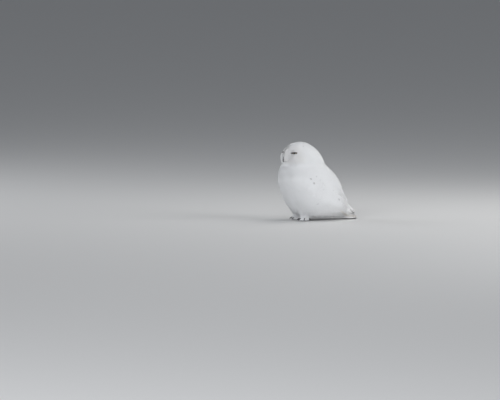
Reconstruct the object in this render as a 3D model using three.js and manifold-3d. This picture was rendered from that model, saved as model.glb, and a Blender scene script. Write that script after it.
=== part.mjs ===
// A life-size snowy owl, an adult male resting on the ground, as solids out to the tips of its plumage.
// Millimetres. The bird faces -Y, its left side is +X and up is +Z. It stands on z = 0, and the origin is
// under the middle of its bounding box.
//
// The plumage is modelled whole, from two closed forms: a trunk that leans back, and a hood that is the
// face in front and the nape behind. Thin cuts then part it into head, neck, trunk, wings, tail and legs.
// Eyes, bill and claws are separate solids, set in sockets.

import * as THREE from "three";
import { mergeVertices } from "three/addons/utils/BufferGeometryUtils.js";
import Module from "manifold-3d";

const wasm = await Module();
wasm.setup();

// ---------------------------------------------------------------- driving dimensions

const CUT = 0.4; // width of the thin cuts that part one solid from the next
const SIMPLER = 0.1; // slivers and steps smaller than this are merged away after the cuts
const DEGREE = Math.PI / 180;

const TRUNK = {
  middle: { y: -35, z: 160 }, // where the trunk is widest
  halfWidth: 127,
  halfDepth: 160,
  rise: 158, // from the middle to the top, which is hidden in the hood
  drop: 148, // from the middle down to the belly
  leanAbove: 0.37, // how far each millimetre of height moves the trunk forwards
  leanBelow: 0.34,
  roundAbove: 2.15, // exponents of the side profile: 2 is an ellipse, more is squarer
  roundBelow: 3.3,
  roundAcross: 2.2,
};

const HOOD = {
  middle: { y: -88 },
  crown: 395, // height of the crown
  face: { halfWidth: 80, depth: 105, level: 305, roundAcross: 2.6, roundUp: 2.3 },
  nape: { halfWidth: 90, depth: 121, level: 279, roundAcross: 2.05, roundUp: 1.64 },
  drop: 62, // how far the hood reaches down into the shoulders
  turn: 15 * DEGREE, // the face looks this far to the bird's left
};

// Heights are above the ground. "Out" is to either side of the face's middle and "ahead" is in front of
// the hood's middle, along the way the face looks.
const EYE = { out: 36, ahead: 71, z: 343, radius: 13 };
const BILL = { ahead: 102, z: 329, upper: 41, lower: 20 };

const WING = {
  wrist: { y: -193, z: 226 },
  sag: { y: -2, z: 157 }, // control point of the wing's centre line
  tip: { y: 184, z: 35 },
  halfBreadth: 68,
  thickness: 15,
  tipThickness: 7,
  tipOut: 45, // how far the folded tips stay from the middle, beside the tail
  square: 3.6, // exponent of its section: 2 is a lens, more is a plate with steep edges
  proud: 4, // how far the folded wing stands out of the flank
};

const TAIL = {
  base: { y: 100, z: 137 },
  tip: { y: 214, z: -2.5 },
  halfWidth: 36,
  spread: 6, // how much wider the tail is at its tip
  thickness: 13,
  tipThickness: 7,
};

// The fluff under the tail. Its underside just clears the ground.
const VENT = { y: 117, z: 37, halfWidth: 50, halfLength: 70, halfHeight: 30, round: 2.5 };

const LEG = { x: 40, y: -88, z: 48, halfWidth: 31, halfDepth: 37, halfHeight: 42 };

const FOOT = {
  x: 40,
  y: -83,
  ankle: 22, // height of the cut between leg and foot
  pad: { radius: 19, height: 34 },
  toeRadius: 11,
  turnOut: 10 * DEGREE,
};

// Each toe's length, and its direction from straight ahead, outwards.
const TOES = {
  inner: { length: 38, angle: -24 * DEGREE },
  middle: { length: 41, angle: 4 * DEGREE },
  outer: { length: 37, angle: 42 * DEGREE },
  hind: { length: 19, angle: 168 * DEGREE },
};

const CLAW = { radius: 3.5, length: 22, bend: 16, rootHeight: 13.5 };

const NECK_CUTS = {
  upper: { front: { y: -192, z: 281 }, back: { y: 0, z: 333 } },
  lower: { front: { y: -200, z: 260 }, back: { y: 45, z: 266 } },
};

// ---------------------------------------------------------------- materials

function finish(colour, roughness) {
  return new THREE.MeshStandardMaterial({ color: colour, roughness, metalness: 0 });
}

const PLUMAGE = finish(0xe9eaea, 0.9);
const HORN = finish(0x26262a, 0.35);
const EYE_GLOSS = finish(0x8a6a1c, 0.1);

// ---------------------------------------------------------------- shapes and cuts

const mix = (a, b, share) => a + (b - a) * share;

function smoothStep(low, high, value) {
  const t = THREE.MathUtils.clamp((value - low) / (high - low), 0, 1);
  return t * t * (3 - 2 * t);
}

// The point of a superellipse of half-axes 1 in the direction (a, b).
function squircle(a, b, exponent) {
  const size = (Math.abs(a) ** exponent + Math.abs(b) ** exponent) ** (1 / exponent);
  return [a / size, b / size];
}

// A bump of height 1 that fades with distance, for hollows and ridges.
const bump = (distance, reach) => Math.exp(-((distance / reach) ** 2));

// A closed form: a unit sphere, its poles up and down, each of whose points is moved by place().
function blob(columns, rows, place) {
  const geometry = new THREE.SphereGeometry(1, columns, rows).rotateX(Math.PI / 2);
  const points = geometry.getAttribute("position");
  const point = new THREE.Vector3();
  for (let i = 0; i < points.count; i++) {
    place(point.fromBufferAttribute(points, i));
    points.setXYZ(i, point.x, point.y, point.z);
  }
  return geometry;
}

function solidOf(geometry) {
  const bare = geometry.clone();
  bare.deleteAttribute("normal");
  bare.deleteAttribute("uv");
  const merged = mergeVertices(bare, 1e-3);
  return new wasm.Manifold(
    new wasm.Mesh({
      numProp: 3,
      vertProperties: merged.getAttribute("position").array,
      triVerts: new Uint32Array(merged.index.array),
    }),
  );
}

function geometryOf(solid) {
  const mesh = solid.simplify(SIMPLER).getMesh();
  return new THREE.BufferGeometry()
    .setAttribute("position", new THREE.BufferAttribute(mesh.vertProperties, 3))
    .setIndex(new THREE.BufferAttribute(mesh.triVerts, 1));
}

// The same solid on the bird's other side.
function mirrored(geometry) {
  const other = geometry.clone().scale(-1, 1, 1);
  const index = other.index.array;
  for (let i = 0; i < index.length; i += 3) {
    [index[i + 1], index[i + 2]] = [index[i + 2], index[i + 1]];
  }
  return other;
}

function largestPiece(solid) {
  const pieces = solid.decompose();
  return pieces.reduce((a, b) => (b.volume() > a.volume() ? b : a));
}

// Everything on one side of the line through two points of the side view: above it, or below it.
function sideOfLine(front, back, above) {
  const reach = 900;
  const slope = Math.atan2(back.z - front.z, back.y - front.y);
  const box = new THREE.BoxGeometry(reach, reach, reach);
  box.translate(0, 0, above ? reach / 2 : -reach / 2);
  box.rotateX(slope);
  box.translate(0, (front.y + back.y) / 2, (front.z + back.z) / 2);
  return solidOf(box);
}

const shifted = (point, rise) => ({ y: point.y, z: point.z + rise });
const ground = sideOfLine({ y: -1, z: 0 }, { y: 1, z: 0 }, false);

// ---------------------------------------------------------------- trunk

const trunkMiddle = (z) =>
  TRUNK.middle.y - (z - TRUNK.middle.z) * (z > TRUNK.middle.z ? TRUNK.leanAbove : TRUNK.leanBelow);

function trunkForm() {
  return blob(34, 23, (p) => {
    const around = Math.hypot(p.x, p.y);
    const exponent = p.z > 0 ? TRUNK.roundAbove : TRUNK.roundBelow;
    const [out, up] = squircle(around, p.z, exponent);
    const [side, back] = around > 0 ? squircle(p.x / around, p.y / around, TRUNK.roundAcross) : [0, 0];
    p.z = TRUNK.middle.z + up * (up > 0 ? TRUNK.rise : TRUNK.drop);
    p.x = side * out * TRUNK.halfWidth;
    p.y = trunkMiddle(p.z) + back * out * TRUNK.halfDepth;
  });
}

// How far out the trunk's surface is at a point of the side view, or 0 past its outline.
function trunkHalfWidth(y, z) {
  const up = (z - TRUNK.middle.z) / (z > TRUNK.middle.z ? TRUNK.rise : TRUNK.drop);
  const exponent = z > TRUNK.middle.z ? TRUNK.roundAbove : TRUNK.roundBelow;
  const out = Math.max(1 - Math.abs(up) ** exponent, 0) ** (1 / exponent);
  const back = (y - trunkMiddle(z)) / (TRUNK.halfDepth * out + 1e-9);
  const side = Math.max(1 - Math.abs(back) ** TRUNK.roundAcross, 0) ** (1 / TRUNK.roundAcross);
  return TRUNK.halfWidth * out * side;
}

// ---------------------------------------------------------------- hood: face in front, nape behind

// Places a point given by how far it is out to the left, ahead and up in the face's own frame.
function fromFace(out, ahead, z) {
  const c = Math.cos(HOOD.turn);
  const s = Math.sin(HOOD.turn);
  return new THREE.Vector3(out * c + ahead * s, HOOD.middle.y - ahead * c + out * s, z);
}

// How far the face stands forward of its plain form: hollows for the eyes, brows over them, the ridge of
// bristles down to the bill, and the rim of the facial disc on the cheeks.
function faceRelief(out, z) {
  const side = Math.abs(out);
  const hollow = -12 * bump(Math.hypot(side - 40, z - EYE.z), 17);
  const brow = 4 * bump(side - 33, 22) * bump(z - 367, 9);
  const ridge = 7 * bump(side, 12) * bump(z - 329, 22);
  const lore = -4 * bump(side - 19, 9) * bump(z - 325, 18);
  const cheek = 8 * bump(side - 56, 20) * bump(z - 326, 27);
  return hollow + brow + ridge + lore + cheek;
}

function hoodForm() {
  return blob(44, 30, (p) => {
    const around = Math.hypot(p.x, p.y);
    const rear = smoothStep(-0.55, 0.5, around > 0 ? p.y / around : 0);
    const part = (name) => mix(HOOD.face[name], HOOD.nape[name], rear);
    const [out, up] = squircle(around, p.z, p.z > 0 ? part("roundUp") : 2.4);
    const [side, back] = around > 0 ? squircle(p.x / around, p.y / around, part("roundAcross")) : [0, 0];
    const level = part("level");
    const z = level + up * (up > 0 ? HOOD.crown - level : HOOD.drop);
    const left = side * out * part("halfWidth");
    const ahead = -back * out * part("depth");
    const forward = smoothStep(0, 0.7, -back * out);
    const turn = HOOD.turn * (1 - rear);
    const reach = ahead + forward * faceRelief(left, z);
    p.x = left * Math.cos(turn) + reach * Math.sin(turn);
    p.y = HOOD.middle.y - reach * Math.cos(turn) + left * Math.sin(turn);
    p.z = z;
  });
}

// ---------------------------------------------------------------- wing and tail

// A point of a quadratic curve in the side view, and its direction.
function alongCurve(start, control, end, t) {
  const at = (a, b, c) => (1 - t) ** 2 * a + 2 * t * (1 - t) * b + t ** 2 * c;
  const slope = (a, b, c) => 2 * (1 - t) * (b - a) + 2 * t * (c - b);
  const dy = slope(start.y, control.y, end.y);
  const dz = slope(start.z, control.z, end.z);
  const length = Math.hypot(dy, dz);
  return {
    y: at(start.y, control.y, end.y),
    z: at(start.z, control.z, end.z),
    dy: dy / length,
    dz: dz / length,
  };
}

// How far out the middle of the folded wing lies: just under the trunk's surface, and past the trunk
// beside the tail.
function wingOut(y, z, thickness) {
  const onTrunk = trunkHalfWidth(y, z) - thickness / 2 + WING.proud;
  const blend = 16;
  return (onTrunk + WING.tipOut + Math.hypot(onTrunk - WING.tipOut, blend)) / 2;
}

// The left wing, folded on the flank. It is a long drop in the side view, blunt at the wrist.
function wingForm(grow) {
  return blob(16, 18, (p) => {
    const t = (1 - p.z) / 2;
    const around = Math.hypot(p.x, p.y);
    const [thick, across] = around > 1e-6 ? squircle(p.x, p.y, WING.square) : [0, 0];
    const drop = Math.sin(Math.PI * t ** 0.72) ** 0.8;
    const breadth = around > 1e-6 ? WING.halfBreadth * drop + grow : 0;
    const thickness = mix(WING.thickness, WING.tipThickness, t) * Math.min(1, drop * 1.6);
    const stretch = 1 + (2 * grow) / 370;
    const line = alongCurve(WING.wrist, WING.sag, WING.tip, 0.5 + (t - 0.5) * stretch);
    const y = line.y + across * breadth * -line.dz;
    const z = line.z + across * breadth * line.dy;
    p.set(wingOut(y, z, thickness) + thick * (thickness / 2 + grow), y, z);
  });
}

// The folded tail: a flat fan, blunt at its tip, slightly arched across.
function tailForm(grow) {
  return blob(18, 12, (p) => {
    const around = Math.hypot(p.x, p.y);
    const [flat, along] = squircle(around, p.z, 5);
    const t = (1 - along * (1 + grow / 80)) / 2;
    const [side, back] = around > 0 ? squircle(p.x / around, p.y / around, 2.6) : [0, 0];
    const width = mix(TAIL.halfWidth, TAIL.halfWidth + TAIL.spread, t) + grow;
    const depth = mix(TAIL.thickness, TAIL.tipThickness, t) / 2 + grow;
    const line = alongCurve(TAIL.base, {
      y: (TAIL.base.y + TAIL.tip.y) / 2 + 1,
      z: (TAIL.base.z + TAIL.tip.z) / 2 - 1,
    }, TAIL.tip, t);
    const arch = -4 * (side * flat) ** 2;
    const offset = back * flat * depth + arch;
    p.set(side * flat * width, line.y - offset * line.dz, line.z + offset * line.dy);
  });
}

// ---------------------------------------------------------------- legs, feet, claws and bill

function ellipsoid(columns, rows, middle, half, grow = 0) {
  return blob(columns, rows, (p) => {
    p.multiply(new THREE.Vector3(half.x + grow, half.y + grow, half.z + grow)).add(middle);
  });
}

function legForm(grow) {
  const middle = new THREE.Vector3(LEG.x, LEG.y, LEG.z);
  const half = { x: LEG.halfWidth, y: LEG.halfDepth, z: LEG.halfHeight };
  return ellipsoid(14, 8, middle, half, grow);
}

// A horn, round in section, that tapers to a point while it bends down. It starts at root, heads along
// "ahead", and curves towards -Z on a circle of the given radius.
function hornForm({ root, ahead, length, bend, width, depth, tilt, facets }, grow = 0) {
  const cone = new THREE.ConeGeometry(1, length, facets, facets - 2).rotateX(Math.PI / 2);
  const points = cone.getAttribute("position");
  const side = new THREE.Vector3(-ahead.y, ahead.x, 0);
  for (let i = 0; i < points.count; i++) {
    const t = points.getZ(i) / length + 0.5;
    const plump = Math.sqrt(1 - 0.85 * t) / Math.max(1 - t, 1e-6);
    const taper = t < 0.999 ? plump : 0;
    const angle = tilt + (t * length) / bend;
    const forward = bend * (Math.sin(angle) - Math.sin(tilt));
    const down = bend * (Math.cos(tilt) - Math.cos(angle));
    const across = points.getX(i) * taper * width * (1 - t * 0.35);
    const high = points.getY(i) * taper * depth * (1 - t * 0.35);
    const end = t > 0.999 ? grow : 0;
    const spread = 1 + grow / width;
    const place = root
      .clone()
      .addScaledVector(ahead, forward + high * spread * Math.sin(angle) + end * Math.cos(angle))
      .addScaledVector(side, across * spread);
    place.z += -down + high * spread * Math.cos(angle) - end * Math.sin(angle);
    points.setXYZ(i, place.x, place.y, place.z);
  }
  return cone;
}

const toeHeading = (angle) =>
  new THREE.Vector3(Math.sin(angle + FOOT.turnOut), -Math.cos(angle + FOOT.turnOut), 0);

// A feathered toe, thick as a slipper, that lies on the ground.
function toeForm({ length, angle }) {
  const heading = toeHeading(angle);
  const side = new THREE.Vector3(-heading.y, heading.x, 0);
  return blob(8, 7, (p) => {
    const [out, along] = squircle(Math.hypot(p.x, p.y), p.z, 2.6);
    const around = Math.hypot(p.x, p.y) || 1;
    const t = (1 + along) / 2;
    const radius = FOOT.toeRadius * mix(1.15, 0.95, t);
    const [x, y] = [(p.x / around) * out * radius, (p.y / around) * out * radius];
    p.set(FOOT.x, FOOT.y, radius * 0.86)
      .addScaledVector(heading, t * length)
      .addScaledVector(side, x);
    p.z += y;
  });
}

function clawForm({ length, angle }, grow = 0) {
  const ahead = toeHeading(angle);
  const root = new THREE.Vector3(FOOT.x, FOOT.y, CLAW.rootHeight).addScaledVector(ahead, length - 9);
  const section = { width: CLAW.radius, depth: CLAW.radius * 1.15, facets: 6 };
  return hornForm({ root, ahead, tilt: -0.1, length: CLAW.length, bend: CLAW.bend, ...section }, grow);
}

function footSolid() {
  const middle = new THREE.Vector3(FOOT.x, FOOT.y, 8);
  const half = { x: FOOT.pad.radius, y: FOOT.pad.radius, z: FOOT.pad.height };
  let foot = solidOf(ellipsoid(10, 6, middle, half));
  for (const toe of Object.values(TOES)) foot = foot.add(solidOf(toeForm(toe)));
  const ankle = sideOfLine({ y: -1, z: FOOT.ankle }, { y: 1, z: FOOT.ankle }, true);
  foot = foot.subtract(ground).subtract(ankle).simplify(3 * SIMPLER);
  for (const toe of Object.values(TOES)) foot = foot.subtract(solidOf(clawForm(toe, CUT)));
  return foot;
}

const faceAhead = fromFace(0, 1, 0).sub(fromFace(0, 0, 0));

function upperBill(grow = 0) {
  const root = fromFace(0, BILL.ahead, BILL.z);
  const shape = { length: BILL.upper, bend: 25, width: 7.2, depth: 8.6, tilt: 0.35, facets: 9 };
  return hornForm({ root, ahead: faceAhead, ...shape }, grow);
}

function lowerBill(grow = 0) {
  const root = fromFace(0, BILL.ahead - 5, BILL.z - 15);
  const shape = { length: BILL.lower, bend: 60, width: 5.2, depth: 4.4, tilt: 0.65, facets: 8 };
  return hornForm({ root, ahead: faceAhead, ...shape }, grow);
}

function eyeForm(side, grow = 0) {
  const radius = EYE.radius + grow;
  const middle = fromFace(side * EYE.out, EYE.ahead, EYE.z);
  return ellipsoid(12, 8, middle, { x: radius, y: radius, z: radius });
}

// The fluff under the tail, from the belly back to near the tail's tip, all of it below the tail.
function ventForm() {
  return blob(16, 10, (p) => {
    const around = Math.hypot(p.x, p.y);
    const [out, up] = squircle(around, p.z, VENT.round);
    const [side, back] = around > 0 ? squircle(p.x / around, p.y / around, VENT.round) : [0, 0];
    p.x = side * out * VENT.halfWidth;
    p.y = VENT.y + back * out * VENT.halfLength;
    p.z = VENT.z + up * VENT.halfHeight;
  });
}

// ---------------------------------------------------------------- the bird, parted into its solids

const wing = wingForm(0);
const leg = legForm(0);
const foot = footSolid();

const vent = solidOf(ventForm()).subtract(sideOfLine(TAIL.base, TAIL.tip, true));
const plumage = solidOf(trunkForm()).add(solidOf(hoodForm())).add(vent);
const { upper, lower } = NECK_CUTS;

const head = plumage
  .subtract(sideOfLine(shifted(upper.front, CUT / 2), shifted(upper.back, CUT / 2), false))
  .subtract(solidOf(upperBill(CUT)))
  .subtract(solidOf(lowerBill(CUT)))
  .subtract(solidOf(eyeForm(1, CUT)))
  .subtract(solidOf(eyeForm(-1, CUT)));

const neck = plumage
  .subtract(sideOfLine(shifted(upper.front, -CUT / 2), shifted(upper.back, -CUT / 2), true))
  .subtract(sideOfLine(shifted(lower.front, CUT / 2), shifted(lower.back, CUT / 2), false));

let trunk = plumage
  .subtract(sideOfLine(shifted(lower.front, -CUT / 2), shifted(lower.back, -CUT / 2), true))
  .subtract(solidOf(tailForm(CUT)));
for (const solid of [wingForm(2 * CUT), legForm(CUT)]) {
  trunk = trunk.subtract(solidOf(solid)).subtract(solidOf(mirrored(solid)));
}

const legSolid = largestPiece(
  solidOf(leg).subtract(sideOfLine({ y: -1, z: FOOT.ankle + CUT }, { y: 1, z: FOOT.ankle + CUT }, false)),
);
const tail = solidOf(tailForm(0)).subtract(ground);

const bird = new THREE.Group();
const add = (name, geometry, material) => {
  const mesh = new THREE.Mesh(geometry, material);
  mesh.name = name;
  bird.add(mesh);
};
const addPair = (name, geometry, material, place = (side) => `${name}_${side}`) => {
  add(place("left"), geometry, material);
  add(place("right"), mirrored(geometry), material);
};

add("head", geometryOf(largestPiece(head)), PLUMAGE);
add("neck", geometryOf(largestPiece(neck)), PLUMAGE);
add("trunk", geometryOf(largestPiece(trunk)), PLUMAGE);
add("tail", geometryOf(largestPiece(tail)), PLUMAGE);
addPair("wing", wing, PLUMAGE);
addPair("leg", geometryOf(legSolid), PLUMAGE);
addPair("foot", geometryOf(foot), PLUMAGE);
for (const [toeName, toe] of Object.entries(TOES)) {
  addPair("claw", clawForm(toe), HORN, (side) => `claw_${side}_${toeName}`);
}
add("bill_upper", upperBill(), HORN);
add("bill_lower", geometryOf(largestPiece(solidOf(lowerBill()).subtract(solidOf(upperBill(CUT))))), HORN);
add("eye_left", eyeForm(1), EYE_GLOSS);
add("eye_right", eyeForm(-1), EYE_GLOSS);

// The origin goes under the middle of the bird's bounding box, at the ground.
const bounds = new THREE.Box3().setFromObject(bird);
const middle = bounds.getCenter(new THREE.Vector3());
bird.position.set(-middle.x, -middle.y, -bounds.min.z);

export default bird;
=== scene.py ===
# %% [markdown]
# # A snowy owl at rest
# A life-size, still model of an adult male snowy owl, as a museum shows one. The owl's solids come from the
# CAD part, and they stay where they are. Here one skin replaces the solids of flesh, and feathers, made as
# meshes, cover it. The eyes, the bill and the claws stay pieces of their own.

import math

import bmesh
import bpy
import numpy as np
from mathutils import Matrix, Vector
from mathutils.bvhtree import BVHTree
from mathutils.geometry import intersect_point_line
from mathutils.kdtree import KDTree


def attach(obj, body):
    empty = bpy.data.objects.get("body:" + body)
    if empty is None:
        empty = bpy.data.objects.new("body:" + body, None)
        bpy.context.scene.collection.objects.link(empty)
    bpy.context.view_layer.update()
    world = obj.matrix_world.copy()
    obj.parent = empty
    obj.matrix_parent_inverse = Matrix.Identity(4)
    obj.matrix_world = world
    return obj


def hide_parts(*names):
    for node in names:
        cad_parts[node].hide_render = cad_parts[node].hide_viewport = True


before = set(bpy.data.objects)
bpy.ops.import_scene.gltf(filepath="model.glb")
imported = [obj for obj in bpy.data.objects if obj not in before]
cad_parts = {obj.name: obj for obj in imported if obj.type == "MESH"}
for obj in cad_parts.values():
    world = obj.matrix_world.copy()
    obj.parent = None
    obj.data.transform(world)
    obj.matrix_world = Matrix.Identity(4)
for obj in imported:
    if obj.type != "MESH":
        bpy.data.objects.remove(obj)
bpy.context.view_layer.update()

# %% [markdown]
# ## Camera
# The owl faces -Y. A camera far off with a long lens sees it nearly without perspective, from its left
# and a little from the front and above. The owl stands right of the picture's middle, so the camera aims
# at a point beside it.

# %% Place the camera
PICTURE = (500, 400)
METRES_PER_PIXEL = 0.005
OWL_ORIGIN_AT = (318.0, 219.8)  # where the model's origin falls in the picture, in pixels
AZIMUTH = math.radians(65)
ELEVATION = math.radians(4.5)
DISTANCE = 30.0
SENSOR_MM = 36
FAR_CLIP = 200

to_camera = Vector((
    math.sin(AZIMUTH) * math.cos(ELEVATION),
    -math.cos(AZIMUTH) * math.cos(ELEVATION),
    math.sin(ELEVATION),
))
picture_right = Vector((math.cos(AZIMUTH), math.sin(AZIMUTH), 0))
picture_up = to_camera.cross(picture_right)
aim = picture_right * (PICTURE[0] / 2 - OWL_ORIGIN_AT[0]) * METRES_PER_PIXEL
aim += picture_up * (OWL_ORIGIN_AT[1] - PICTURE[1] / 2) * METRES_PER_PIXEL

camera_data = bpy.data.cameras.new("camera")
camera_data.sensor_width = SENSOR_MM
camera_data.lens = SENSOR_MM * DISTANCE / (PICTURE[0] * METRES_PER_PIXEL)
camera_data.clip_end = FAR_CLIP
camera = bpy.data.objects.new("camera", camera_data)
camera.location = aim + to_camera * DISTANCE
camera.rotation_euler = (-to_camera).to_track_quat("-Z", "Y").to_euler()
bpy.context.scene.collection.objects.link(camera)
bpy.context.scene.camera = camera
print("lens in mm:", round(camera_data.lens))

# %% [markdown]
# ## Floor and light
# A plain pale floor, and studio light as soft as an overcast sky. A broad key lamp hangs overhead, behind
# the owl's back. The front lamp is huge and far away: seen from the owl it is as large as a near one, but
# its edge and the bright pool below it stay off the floor that shows. Two lesser lamps light the owl's
# right side and its tail, and an even glow all round fills the shadows.

# %% Lay the floor and hang the lamps
FLOOR_SIZE = 60.0
FLOOR_PALE = (0.78, 0.78, 0.775, 1)
SKY_GLOW = (0.40, 0.42, 0.45, 1)
SKY_STRENGTH = 0.42
WARM_LIGHT, COOL_LIGHT, WHITE_LIGHT = (1.0, 0.99, 0.97), (0.97, 0.98, 1.0), (1.0, 1.0, 1.0)
LAMPS = {  # where it hangs, what it looks at, its size in metres, its power in watts and its colour
    "key_lamp": ((-0.2, 1.1, 2.2), (0, -0.05, 0.20), 2.0, 17, WARM_LIGHT),
    "front_lamp": ((11.4, -9.6, 5.4), (0, -0.05, 0.15), 10.8, 1225, COOL_LIGHT),
    "fill_lamp": ((-3.4, -3.4, 2.0), (0, -0.05, 0.15), 3.2, 54, COOL_LIGHT),
    "rear_lamp": ((3.6, 3.0, 1.8), (0, 0.10, 0.05), 3.2, 92, WHITE_LIGHT),
}


def link(name, mesh):
    """An object in the scene that shows this mesh."""
    made = bpy.data.objects.new(name, mesh)
    bpy.context.scene.collection.objects.link(made)
    return made


def mesh_from(bm, name):
    """Turns a bmesh into a mesh and frees it."""
    mesh = bpy.data.meshes.new(name)
    bm.to_mesh(mesh)
    bm.free()
    return mesh


def softbox(name, place, looks_at, size, watts, colour):
    """A square area lamp that looks at a point."""
    lamp = bpy.data.lights.new(name, "AREA")
    lamp.shape = "SQUARE"
    lamp.size = size
    lamp.energy = watts
    lamp.color = colour
    made = bpy.data.objects.new(name, lamp)
    made.location = place
    made.rotation_euler = (Vector(place) - Vector(looks_at)).to_track_quat("Z", "Y").to_euler()
    bpy.context.scene.collection.objects.link(made)


bm = bmesh.new()
bmesh.ops.create_grid(bm, x_segments=1, y_segments=1, size=FLOOR_SIZE / 2)
floor = link("floor", mesh_from(bm, "floor"))
floor_paint = bpy.data.materials.new("floor_paint")
floor_paint.use_nodes = True
floor_shader = floor_paint.node_tree.nodes["Principled BSDF"]
floor_shader.inputs["Base Color"].default_value = FLOOR_PALE
floor_shader.inputs["Roughness"].default_value = 0.9
floor.data.materials.append(floor_paint)

for name, settings in LAMPS.items():
    softbox(name, *settings)
world = bpy.data.worlds.new("sky")
world.use_nodes = True
world.node_tree.nodes["Background"].inputs["Color"].default_value = SKY_GLOW
world.node_tree.nodes["Background"].inputs["Strength"].default_value = SKY_STRENGTH
bpy.context.scene.world = world
bpy.context.scene.view_settings.view_transform = "Standard"

# %% [markdown]
# ## Places on the head
# The head is turned to the owl's left, so places on the face are easier to say in the face's own frame:
# how far out to the left, how far ahead and how high. All lengths below are in metres.

# %% Say where things are on the face
FACE_TURN = math.radians(15)
HEAD_MIDDLE_Y = -0.0912
EYE_OUT, EYE_AHEAD, EYE_HEIGHT = 0.036, 0.071, 0.343
EYE_RADIUS = 0.013


def from_face(out, ahead, height):
    """A point of the model from a place on the face."""
    c, s = math.cos(FACE_TURN), math.sin(FACE_TURN)
    return Vector((out * c + ahead * s, HEAD_MIDDLE_Y - ahead * c + out * s, height))


def to_face(points):
    """How far out, ahead and up each point is, in the face's frame."""
    c, s = math.cos(FACE_TURN), math.sin(FACE_TURN)
    x, y = points[:, 0], points[:, 1] - HEAD_MIDDLE_Y
    return x * c + y * s, x * s - y * c, points[:, 2]


def ease(low, high, value):
    """0 below low, 1 above high, and smooth between them."""
    t = np.clip((value - low) / (high - low), 0, 1)
    return t * t * (3 - 2 * t)


def hump(distance, reach):
    """1 at distance 0, fading to 0 past the reach."""
    return np.exp(-((distance / reach) ** 2))


EYES = {side: from_face(sign * EYE_OUT, EYE_AHEAD, EYE_HEIGHT)
        for side, sign in (("left", 1), ("right", -1))}

# %% [markdown]
# ## Skin
# The flesh solids meet at thin cuts. A voxel remesh of them all together closes the cuts and gives one
# even skin, and smoothing takes the facets away. The wings' upper edges are smoothed much more, because
# there the back's feathers hide the step. The skin then sinks under the coat: deep on the body, where the
# plumage is thick, and hardly at all on the face and toes.

# %% Tools that join, smooth and clean
WELD_GAP = 1e-5


def merged_copy(nodes):
    """A bmesh of some solids, their loose triangles joined."""
    bm = bmesh.new()
    for node in nodes:
        bm.from_mesh(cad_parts[node].data)
    bmesh.ops.remove_doubles(bm, verts=bm.verts, dist=WELD_GAP)
    return bm


def applied(thing):
    """The mesh of an object with its modifiers carried out."""
    shown = thing.evaluated_get(bpy.context.evaluated_depsgraph_get())
    return bpy.data.meshes.new_from_object(shown)


def relax(bm, verts, passes):
    """Evens the surface out at these vertices, a number of times."""
    every_way = dict(use_axis_x=True, use_axis_y=True, use_axis_z=True)
    for _ in range(passes):
        bmesh.ops.smooth_vert(bm, verts=verts, factor=0.5, **every_way)


def shade_smooth(bm):
    """Shades every face of a bmesh smooth."""
    for face in bm.faces:
        face.smooth = True


def keep_largest_island(bm):
    """Removes all but the island with the most vertices."""
    seen, islands = set(), []
    for start in bm.verts:
        if start in seen:
            continue
        island, waiting = [], [start]
        seen.add(start)
        while waiting:
            vert = waiting.pop()
            island.append(vert)
            for edge in vert.link_edges:
                other = edge.other_vert(vert)
                if other not in seen:
                    seen.add(other)
                    waiting.append(other)
        islands.append(island)
    islands.sort(key=len)
    for island in islands[:-1]:
        bmesh.ops.delete(bm, geom=island, context="VERTS")
    return len(islands)


# %% Fuse the flesh into one skin
FLESH = ["head", "neck", "trunk", "tail", "wing_left", "wing_right", "leg_left", "leg_right",
         "foot_left", "foot_right"]
VOXEL = 0.0034
EVEN_PASSES, WING_PASSES, SUNK_PASSES = 7, 60, 2
WING_STARTS_OUT = 0.045
WING_TOP_REACH = 0.026
WING_TOP = [Vector(place) for place in (  # y and z along the wing's upper edge
    (-0.212, 0.222), (-0.193, 0.242), (-0.143, 0.251), (-0.098, 0.249), (-0.056, 0.239),
    (-0.016, 0.222), (0.021, 0.200), (0.057, 0.174), (0.091, 0.145), (0.118, 0.117),
)]


def beside_line(place, line, reach):
    """True where a place in the side view is within reach of a bent line."""
    spot = Vector((place.y, place.z))
    gaps = []
    for start, end in zip(line, line[1:]):
        near, share = intersect_point_line(spot, start, end)
        near = start if share < 0 else end if share > 1 else near
        gaps.append((spot - near).length)
    return min(gaps) < reach


lump = link("lump", mesh_from(merged_copy(FLESH), "lump"))
fuse = lump.modifiers.new("fuse", "REMESH")
fuse.mode = "VOXEL"
fuse.voxel_size = VOXEL
bm = bmesh.new()
bm.from_mesh(applied(lump))
bpy.data.objects.remove(lump)
print("islands after the remesh:", keep_largest_island(bm))
relax(bm, bm.verts, EVEN_PASSES)
seam = [vert for vert in bm.verts
        if abs(vert.co.x) > WING_STARTS_OUT and beside_line(vert.co, WING_TOP, WING_TOP_REACH)]
relax(bm, seam, WING_PASSES)
bm.normal_update()
print("skin vertices:", len(bm.verts), "of them along the wings:", len(seam))


# %% Say how deep the coat is and how the face folds
TAIL_BASE, TAIL_TIP = np.array([0.0, 0.0968, 0.137]), np.array([0.0, 0.2108, -0.0025])
TAIL_WAY = (TAIL_TIP - TAIL_BASE) / np.linalg.norm(TAIL_TIP - TAIL_BASE)
TAIL_UP = np.array([0.0, -TAIL_WAY[2], TAIL_WAY[1]])
DEPTH_ON = {
    "body": 0.0105, "head": 0.0070, "face": 0.0042,
    "lids": 0.0012, "rear": 0.0026, "feet": 0.0034,
}
RIM_HEIGHT, RIM_RADIUS, RIM_REACH = 0.0026, 0.0175, 0.0055
FACE_FOLDS = (  # how much it stands out, its place and reach outwards, its place and reach upwards
    (0.0030, 0.030, 0.017, 0.3625, 0.0060),  # brow
    (-0.0022, 0.018, 0.0060, 0.336, 0.0100),  # tear, the hollow between eye and bill
    (0.0020, 0.052, 0.016, 0.318, 0.016),  # cheek
)


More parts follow.
